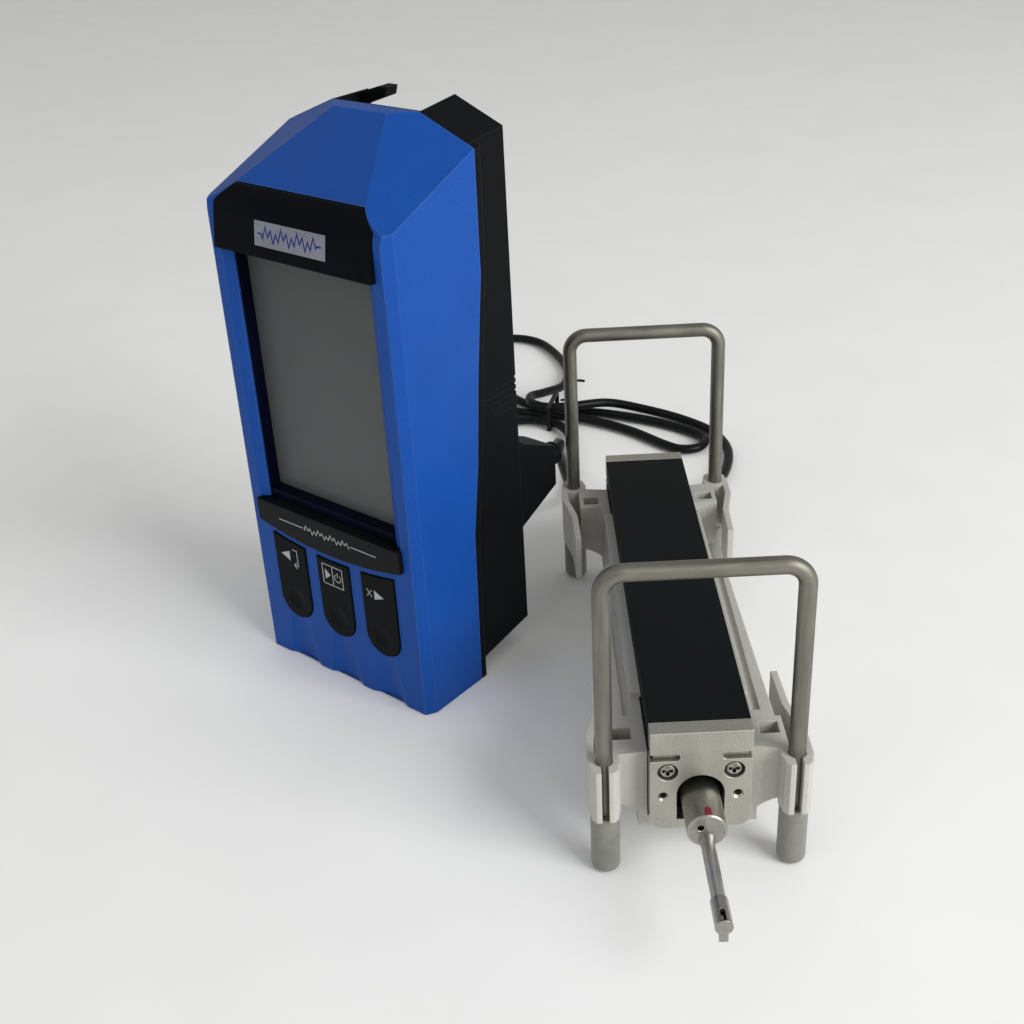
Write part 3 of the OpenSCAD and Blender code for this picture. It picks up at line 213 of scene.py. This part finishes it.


# How each kind of surface is worn. A patch is so many millimetres across and tints the grain by its
# mix, and the tones say where the ramp runs from low to high. Every outer edge has a small round in
# millimetres, and is painted lighter by its shine: partly rubbing from handling, partly painted highlight.
wear = {
    "plastic": {"patch": 14, "mix": 0.5, "tones": (0.55, 0.95), "bump": 0.5, "round": 0.45, "shine": 0.36},
    "metal": {"patch": 9, "mix": 0.6, "tones": (0.6, 1.0), "bump": 0.6, "round": 0.3, "shine": 0.75},
}
edgeLightening = {"start": 0.99, "full": 0.86}  # cosine of the bend where an edge starts to look rubbed and to take the painted highlight
recessShading = {"reach": 0.8, "closed": 0.45, "open": 0.9}  # millimetres that the painted shade in hollows reaches, and how open a hollow is where it starts and ends


# Edges lighten towards a pale colour wherever the light is: partly rubbing from handling, partly painted
# highlight
def rubbedAndLitEdges(tree, tone, rounded, share, pale):
    flat = addNode(tree, "ShaderNodeNewGeometry").outputs["Normal"]
    bend = addNode(tree, "ShaderNodeVectorMath", None, {0: flat, 1: rounded.outputs["Normal"]},
                   operation="DOT_PRODUCT")
    wearAndSheen = addNode(tree, "ShaderNodeMapRange",
                   {"From Min": edgeLightening["start"], "From Max": edgeLightening["full"],
                    "To Min": 0, "To Max": share}, {"Value": bend.outputs["Value"]})
    return addNode(tree, "ShaderNodeMixRGB", {"Color2": hexColour(pale)},
                   {"Fac": wearAndSheen.outputs["Result"], "Color1": tone.outputs["Color"]})


# Hollows darken towards a dark colour by how closed in they are: painted shade
def shadeInRecess(tree, tone, dark):
    occlusion = addNode(tree, "ShaderNodeAmbientOcclusion", {"Distance": recessShading["reach"] * mm},
                   samples=8, only_local=True)
    unshaded = addNode(tree, "ShaderNodeMapRange", {"From Min": recessShading["closed"], "From Max": recessShading["open"]},
                    {"Value": occlusion.outputs["AO"]})
    return addNode(tree, "ShaderNodeMixRGB", {"Color1": hexColour(dark)},
                   {"Fac": unshaded.outputs["Result"], "Color2": tone.outputs["Color"]})


def wornSurface(name, kind, low, high, roughness, grain, depth, gloss=0.5, metallic=0,
                stretch=(1, 1, 1), edge=None, recess=None):
    wearAndSheen = wear[kind]
    material, tree, shader, place = startMaterial(name, **{
        "Metallic": metallic, "Specular IOR Level": gloss})
    drawn = addNode(tree, "ShaderNodeMapping", {"Scale": stretch}, {"Vector": place})
    fine = addNode(tree, "ShaderNodeTexNoise", {"Scale": perMetre(grain), "Detail": 3},
                   {"Vector": drawn.outputs["Vector"]})
    patches = addNode(tree, "ShaderNodeTexNoise", {"Scale": perMetre(wearAndSheen["patch"]), "Detail": 4},
                      {"Vector": place})
    mixed = addNode(tree, "ShaderNodeMath", {1: wearAndSheen["mix"]},
                    {0: patches.outputs["Fac"], 2: fine.outputs["Fac"]}, operation="MULTIPLY_ADD")
    tone = addNode(tree, "ShaderNodeValToRGB", None, {"Fac": mixed.outputs[0]},
                   list(zip(wearAndSheen["tones"], (low, high))))
    dulled = addNode(tree, "ShaderNodeMapRange", {"To Min": roughness[0], "To Max": roughness[1]},
                     {"Value": patches.outputs["Fac"]})
    rounded = addNode(tree, "ShaderNodeBevel", {"Radius": wearAndSheen["round"] * mm}, samples=4)
    bump = addNode(tree, "ShaderNodeBump", {"Strength": wearAndSheen["bump"], "Distance": depth * mm},
                   {"Height": fine.outputs["Fac"], "Normal": rounded.outputs["Normal"]})
    colour = rubbedAndLitEdges(tree, tone, rounded, wearAndSheen["shine"], edge or high)
    if recess:
        colour = shadeInRecess(tree, colour, recess)
    tree.links.new(colour.outputs["Color"], shader.inputs["Base Color"])
    tree.links.new(dulled.outputs["Result"], shader.inputs["Roughness"])
    tree.links.new(bump.outputs["Normal"], shader.inputs["Normal"])
    return material


# Display: anti-glare film over a dark panel, a soft grey with a painted reflection that makes it a touch
# lighter towards its lower right
display = {"dark": "#4e5051", "light": "#5d5f60", "across": 0.45, "down": 0.55, "tones": (0.1, 0.95),
           "pixel": 0.24, "bump": 0.3, "depth": 0.005, "roughness": 0.4, "gloss": 0.2}


def antiGlareDisplay():
    material, tree, shader, place = startMaterial("displayFilmAntiGlare", **{
        "Specular IOR Level": display["gloss"], "Roughness": display["roughness"]})
    low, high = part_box("display_panel")
    axes = addNode(tree, "ShaderNodeSeparateXYZ", links={"Vector": place})
    across = addNode(tree, "ShaderNodeMapRange",
                     {"From Min": low[0], "From Max": high[0], "To Min": 0, "To Max": display["across"]},
                     {"Value": axes.outputs["X"]})
    down = addNode(tree, "ShaderNodeMapRange",
                   {"From Min": high[2], "From Max": low[2], "To Min": 0, "To Max": display["down"]},
                   {"Value": axes.outputs["Z"]})
    total = addNode(tree, "ShaderNodeMath", None, {0: across.outputs["Result"], 1: down.outputs["Result"]})
    toneWithReflection = addNode(tree, "ShaderNodeValToRGB", None, {"Fac": total.outputs[0]},
                    list(zip(display["tones"], (display["dark"], display["light"]))))
    speckle = addNode(tree, "ShaderNodeTexNoise", {"Scale": perMetre(display["pixel"]), "Detail": 2},
                      {"Vector": place})
    bump = addNode(tree, "ShaderNodeBump", {"Strength": display["bump"], "Distance": display["depth"] * mm},
                   {"Height": speckle.outputs["Fac"]})
    tree.links.new(toneWithReflection.outputs["Color"], shader.inputs["Base Color"])
    tree.links.new(bump.outputs["Normal"], shader.inputs["Normal"])
    return material


# Circuit board: glossy green solder mask over copper lines about a millimetre apart
board = {"mask": "#0f4a2a", "line": "#2b7a48", "pitch": 1.2, "cell": 8, "width": 0.012,
         "bump": 0.4, "depth": 0.03, "roughness": 0.35}


def maskedBoard():
    material, tree, shader, place = startMaterial("boardSolderMasked", Roughness=board["roughness"])
    mask = hexColour(board["mask"])
    tracks = addNode(tree, "ShaderNodeTexBrick",
                     {"Scale": perMetre(board["pitch"] * board["cell"]), "Mortar Size": board["width"],
                      "Color1": mask, "Color2": mask, "Mortar": hexColour(board["line"])},
                     {"Vector": place})
    bump = addNode(tree, "ShaderNodeBump", {"Strength": board["bump"], "Distance": board["depth"] * mm},
                   {"Height": tracks.outputs["Fac"]})
    tree.links.new(tracks.outputs["Color"], shader.inputs["Base Color"])
    tree.links.new(bump.outputs["Normal"], shader.inputs["Normal"])
    return material


finishes = {name: wornSurface(name, "plastic", **values) for name, values in plastics.items()}
for metalName, metalValues in metals.items():
    finishes[metalName] = wornSurface(metalName, "metal", **{"metallic": 1, **metalValues})
finishes["displayFilmAntiGlare"] = antiGlareDisplay()
finishes["boardSolderMasked"] = maskedBoard()

finishOf = {
    "blueAbsMoulded": ["front_shell", "rail_left", "rail_right"],
    "blackAbsMoulded": ["rear_shell", "host_socket", "cable_plug", "cable_gland"],
    "trimAbsMoulded": ["lower_trim"],
    "acrylicBrowMoulded": ["brow_panel"],
    "frameNavyShaded": ["display_frame"],
    "foilNameplateBrushed": ["nameplate"],
    "displayFilmAntiGlare": ["display_panel"],
    "siliconeKeyMoulded": ["key_left", "key_start", "key_right"],
    "boardSolderMasked": ["key_board", "main_board", "drive_board"],
    "batteryWrapShrunk": ["battery_pack"],
    "steelScrewPlated": ["case_screws", "plate_screws"],
    "rubberPadMoulded": ["rear_pads"],
    "aluminiumHousingPainted": ["drive_housing"],
    "aluminiumBlastedAnodised": ["front_plate", "rear_plate"],
    "aluminiumMachined": ["front_block", "rear_block", "motor_block", "screw_coupling", "carriage"],
    "steelGround": ["guide_rods", "lead_screw", "motor_shaft", "pickup_stem", "pivot_pin", "stylus_arm"],
    "brassTurned": ["screw_bush", "drive_nut"],
    "motorCanDrawn": ["gear_motor"],
    "pickupChromeSatin": ["pickup_body"],
    "noseSteelPolished": ["pickup_nose"],
    "copperWound": ["sensor_coil"],
    "whiteAbsMoulded": ["stand_tray"],
    "steelWirePlated": ["front_bail", "rear_bail"],
    "vinylFootMoulded": ["front_feet", "rear_feet"],
    "vinylCableExtruded": ["drive_cable"],
    "tieWireCoated": ["twist_tie"],
}


def dressNodes():
    for finish, nodes in finishOf.items():
        for node in nodes:
            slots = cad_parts[node].data.materials
            slots.clear()
            slots.append(finishes[finish])


dressNodes()
print("finishes made:", len(finishes))


# Printed marks: thin ink shapes on the host's front pieces, drawn in millimetres in the host's own
# axes, x to the right and z up. Plain signs stand where the real one has words.
host = {"turn": -39.6, "baseMid": 11.0}  # degrees, and half the depth of the shell's foot
ink = {"thick": 0.05, "fine": 0.28, "bold": 0.42}  # the film, and two widths of line
marks = {
    "nameplate": {"body": "tester", "finish": "inkBluePrinted", "face": -1.995, "base": 123.86,
                  "tilt": 8.67, "stroke": "bold"},
    "trim": {"body": "tester", "finish": "inkWhitePrinted", "face": -1.2},
    "leftKey": {"body": "left_key", "finish": "inkWhitePrinted", "face": -0.4},
    "startKey": {"body": "start_key", "finish": "inkWhitePrinted", "face": -0.4},
    "rightKey": {"body": "right_key", "finish": "inkWhitePrinted", "face": -0.4},
}


def profileTrace(left, right, middle, height, peaks):
    step = (right - left) / (2 * peaks)
    swings = [0.6 + 0.4 * sin(i * 2.1) for i in range(2 * peaks + 1)]  # uneven, as a measured profile is
    return [(left + i * step, middle + height * (0.5 if i % 2 else -0.5) * swing)
            for i, swing in enumerate(swings)]


def arc(x, z, radius, start, end, steps=20):
    angles = [radians(start + (end - start) * i / steps) for i in range(steps + 1)]
    return [(x + radius * cos(a), z + radius * sin(a)) for a in angles]


lines = {
    "nameplate": [[(-10.6, 6.2), (-9.2, 6.2), *profileTrace(-8.8, 9.8, 6.2, 4.0, 10),
                   (10.2, 6.2), (11.6, 6.2)]],
    "trim": [[(-18.5, 47.2), (-9, 47.2)], profileTrace(-8.6, 8.6, 47.2, 2.2, 11),
             [(9, 47.2), (18.5, 47.2)]],
    "leftKey": [[(-16.0, 37.6), (-14.2, 37.6), (-14.2, 32.6), (-15.6, 32.6)],
                [(-14.8, 33.6), (-15.8, 32.6), (-14.8, 31.6)]],
    "startKey": [[(-4.1, 31.2), (3.5, 31.2), (3.5, 37.4), (-4.1, 37.4), (-4.1, 31.2)],
                 [(-0.3, 31.2), (-0.3, 37.4)], arc(1.6, 34.2, 1.2, 125, 415), [(1.6, 34.4), (1.6, 35.9)]],
    "rightKey": [[(12.8, 33.0), (14.6, 35.2)], [(12.8, 35.2), (14.6, 33.0)]],
}
fills = {
    "leftKey": [[(-20.7, 35.2), (-17.2, 33.6), (-17.2, 36.8)]],
    "startKey": [[(-3.2, 32.6), (-1.1, 34.3), (-3.2, 36.0)]],
    "rightKey": [[(15.5, 32.5), (19.0, 34.0), (15.5, 35.5)]],
}


def markMatrix(face, base=0, tilt=0, **_):
    turn = Matrix.Rotation(radians(host["turn"]), 4, "Z") @ Matrix.Translation((0, -host["baseMid"], 0))
    flat = Matrix.Scale(mm, 4) @ turn @ Matrix.Translation((0, face, base))
    return flat @ Matrix.Rotation(radians(-tilt), 4, "X")


def lineSides(points, width):
    sides = []
    for i, point in enumerate(points):
        before, after = points[max(i - 1, 0)], points[min(i + 1, len(points) - 1)]
        along = [Vector(b) - Vector(a) for a, b in ((before, point), (point, after)) if a != b]
        normals = [Vector((-v.y, v.x)).normalized() for v in along]
        mitre = sum(normals, Vector((0, 0))).normalized()
        reach = width / 2 / max(mitre.dot(normals[0]), 0.5)  # a sharp corner is cut short
        sides.append((Vector(point) + mitre * reach, Vector(point) - mitre * reach))
    return sides


def printMark(name):
    values = marks[name]
    stroke = ink[values.get("stroke", "fine")]
    work = bmesh.new()
    for points in lines.get(name, []):
        rows = [[work.verts.new((p.x, -ink["thick"], p.y)) for p in pair]
                for pair in lineSides(points, stroke)]
        for (a, b), (c, d) in zip(rows, rows[1:]):
            work.faces.new((a, b, d, c))
    for points in fills.get(name, []):
        work.faces.new([work.verts.new((x, -ink["thick"], z)) for x, z in points])
    bmesh.ops.recalc_face_normals(work, faces=work.faces)
    edge = bmesh.ops.extrude_face_region(work, geom=work.faces[:])
    for vert in (v for v in edge["geom"] if isinstance(v, bmesh.types.BMVert)):
        vert.co.y = 0
    bmesh.ops.recalc_face_normals(work, faces=work.faces)
    work.transform(markMatrix(**values))
    mesh = bpy.data.meshes.new(name + "Mark")
    work.to_mesh(mesh)
    work.free()
    mesh.materials.append(finishes[values["finish"]])
    obj = bpy.data.objects.new(name + "Mark", mesh)
    bpy.context.collection.objects.link(obj)
    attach(obj, values["body"])


for markName in marks:
    printMark(markName)


# A dab of red paint on the pickup's barrel, beside its front rim
dab = {"radius": 4.5, "front": 0.4, "length": 2.6, "width": 1.6, "thick": 0.06,  # millimetres
       "turn": 86, "steps": 12, "straight": 0.55, "round": 0.45}  # the rear end is round


def paintDab():
    low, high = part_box("pickup_body")
    axis = Vector(((low[0] + high[0]) / 2, low[1], (low[2] + high[2]) / 2))
    radius = dab["radius"] + dab["thick"]
    work = bmesh.new()
    rows = []
    for i in range(dab["steps"] + 1):
        u = pi * i / dab["steps"]
        turn = radians(dab["turn"]) + cos(u) * dab["width"] / 2 / radius
        reach = dab["front"] + dab["length"] * (dab["straight"] + dab["round"] * sin(u))
        ring = [axis + mm * Vector((radius * cos(turn), y, radius * sin(turn)))
                for y in (dab["front"], reach)]
        rows.append([work.verts.new(p) for p in ring])
    for (a, b), (c, d) in zip(rows, rows[1:]):
        work.faces.new((a, b, d, c))
    bmesh.ops.recalc_face_normals(work, faces=work.faces)
    bmesh.ops.solidify(work, geom=work.faces[:], thickness=dab["thick"] * mm)
    mesh = bpy.data.meshes.new("pickupDab")
    work.to_mesh(mesh)
    work.free()
    mesh.materials.append(finishes["paintRedDabbed"])
    obj = bpy.data.objects.new("pickupDab", mesh)
    bpy.context.collection.objects.link(obj)
    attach(obj, "pickup")


paintDab()
print("marks printed:", len(marks) + 1)


# Cable between the host's plug and the drive's gland, in millimetres as it lies
cable = {
    "diameter": 3.4,
    "route": [
        (55.1, 31.4, 49), (56.8, 34.5, 48.9), (57.2, 38, 48.2), (57, 43, 45.8), (57.6, 53, 37.5),
        (60, 65, 23), (62, 79, 9.5), (63, 92, 3.4), (64, 108, 2.6), (64.5, 128, 2.6),
        (62.5, 142, 2.6), (56, 150.2, 2.6), (46, 152.5, 2.4), (34, 151, 2), (20, 148.5, 2),
        (11, 150, 2), (5, 157, 2), (7.4, 166, 2), (16.5, 169.5, 2), (30, 166, 2), (46, 160, 2.4),
        (58, 155, 2.6), (72, 150, 2.4), (87, 139.5, 2), (98, 127, 2), (104, 122, 2),
        (110.6, 122.6, 2), (113.8, 128.4, 2), (111, 135, 2), (97, 146.5, 2), (76, 156, 2.4),
        (59, 160, 2.6), (46, 170, 2.4), (36, 190, 2), (29, 212, 2), (32, 230, 2), (43, 238, 2),
        (55, 232, 2), (63, 215, 2), (66, 198, 2), (63.5, 182, 3), (56, 172, 5), (50, 165, 6.6),
        (50.8, 157.4, 7), (57.4, 153.2, 7), (67, 153.6, 7), (80, 157, 6), (94, 155, 3.4),
        (108, 147, 2), (118, 134, 2), (121, 118, 2), (116, 99, 2), (106, 85, 3), (96.5, 76, 8),
        (89.4, 69.4, 14.8), (85, 64, 19.8), (83.3, 59.5, 21.8), (83, 55.5, 22.1),
    ],
}
tube = {"steps": 6, "rounding": 4}  # smooth points between two points of a route, and round its girth
# The tie's free end stands up from its knot and bends over to the right
tie = {"thick": 1.0, "tail": [(61.5, 154.5, 9.2), (65, 154.3, 9.8), (66.6, 154.4, 12.5),
                              (66.9, 154.5, 16), (68.2, 154.5, 17.1), (71, 154.4, 16.8)]}


def smoothRoute(route):  # a Catmull-Rom curve through the route's points
    points = [Vector(p) for p in route]
    points = [2 * points[0] - points[1], *points, 2 * points[-1] - points[-2]]
    smooth = []
    for a, b, c, d in zip(points, points[1:], points[2:], points[3:]):
        for step in range(tube["steps"]):
            u = step / tube["steps"]
            smooth.append(0.5 * (2 * b + (c - a) * u + (2 * a - 5 * b + 4 * c - d) * u ** 2
                                 + (3 * b - a - 3 * c + d) * u ** 3))
    return smooth + [points[-2]]


def routeLength(points):
    return sum((b - a).length for a, b in zip(points, points[1:]))


def layTube(name, route, diameter, finish):
    points = smoothRoute(route)
    curve = bpy.data.curves.new(name, "CURVE")
    curve.dimensions = "3D"
    curve.bevel_depth = diameter / 2 * mm
    curve.bevel_resolution = tube["rounding"]
    curve.use_fill_caps = True
    spline = curve.splines.new("POLY")
    spline.points.add(len(points) - 1)
    for target, p in zip(spline.points, points):
        target.co = (*(p * mm), 1)
    curve.materials.append(finishes[finish])
    obj = bpy.data.objects.new(name, curve)
    bpy.context.collection.objects.link(obj)
    return obj, routeLength(points)


def layCable():
    tail, _ = layTube("tieTail", tie["tail"], tie["thick"], "tieWireCoated")
    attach(tail, "tester")
    obj, length = layTube("driveCable", cable["route"], cable["diameter"], "vinylCableExtruded")
    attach(obj, "tester")
    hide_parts("drive_cable")
    return length


print("cable laid, mm:", round(layCable()))


# Floor of matt pale paper with a faint slow mottle, two soft boxes and a pale sky
studio = {
    "floor": {"width": 6.0, "drop": 0.0002, "mottle": 40, "tones": (0.3, 0.7), "low": "#f8f8f7",
              "high": "#fbfbfa", "roughness": 0.85},  # metres, but the mottle in millimetres
    "sky": {"colour": "#fbfbfa", "strength": 0.47},
    # soft boxes: metres and watts
    "key": {"place": (1.1, -0.9, 0.75), "target": (0.05, -0.02, 0.06), "size": 0.9, "power": 21},
    "fill": {"place": (-0.9, -0.9, 0.9), "target": (0.03, 0, 0.07), "size": 1.2, "power": 2},
}


def paleFloor():
    values = studio["floor"]
    material, tree, shader, place = startMaterial("floorPaperPale", Roughness=values["roughness"])
    mottle = addNode(tree, "ShaderNodeTexNoise", {"Scale": perMetre(values["mottle"]), "Detail": 5},
                     {"Vector": place})
    tone = addNode(tree, "ShaderNodeValToRGB", None, {"Fac": mottle.outputs["Fac"]},
                   list(zip(values["tones"], (values["low"], values["high"]))))
    tree.links.new(tone.outputs["Color"], shader.inputs["Base Color"])
    mesh = bpy.data.meshes.new("floor")
    h = values["width"] / 2
    mesh.from_pydata([(-h, -h, 0), (h, -h, 0), (h, h, 0), (-h, h, 0)], [], [(0, 1, 2, 3)])
    mesh.materials.append(material)
    floor = bpy.data.objects.new("floor", mesh)
    floor.location.z = -values["drop"]
    bpy.context.collection.objects.link(floor)


def softBox(name):
    values = studio[name]
    light = bpy.data.lights.new(name, "AREA")
    light.shape = "SQUARE"
    light.size = values["size"]
    light.energy = values["power"]
    obj = bpy.data.objects.new(name, light)
    aim = Vector(values["target"]) - Vector(values["place"])
    turn = aim.to_track_quat("-Z", "Y").to_matrix().to_4x4()
    obj.matrix_world = Matrix.Translation(values["place"]) @ turn
    bpy.context.collection.objects.link(obj)


def paleSky():
    world = bpy.data.worlds.new("studio")
    world.use_nodes = True
    sky = world.node_tree.nodes["Background"]
    sky.inputs["Color"].default_value = hexColour(studio["sky"]["colour"])
    sky.inputs["Strength"].default_value = studio["sky"]["strength"]
    bpy.context.scene.world = world


paleFloor()
softBox("key")
softBox("fill")
paleSky()
bpy.context.scene.view_settings.view_transform = "Standard"
print("studio set")
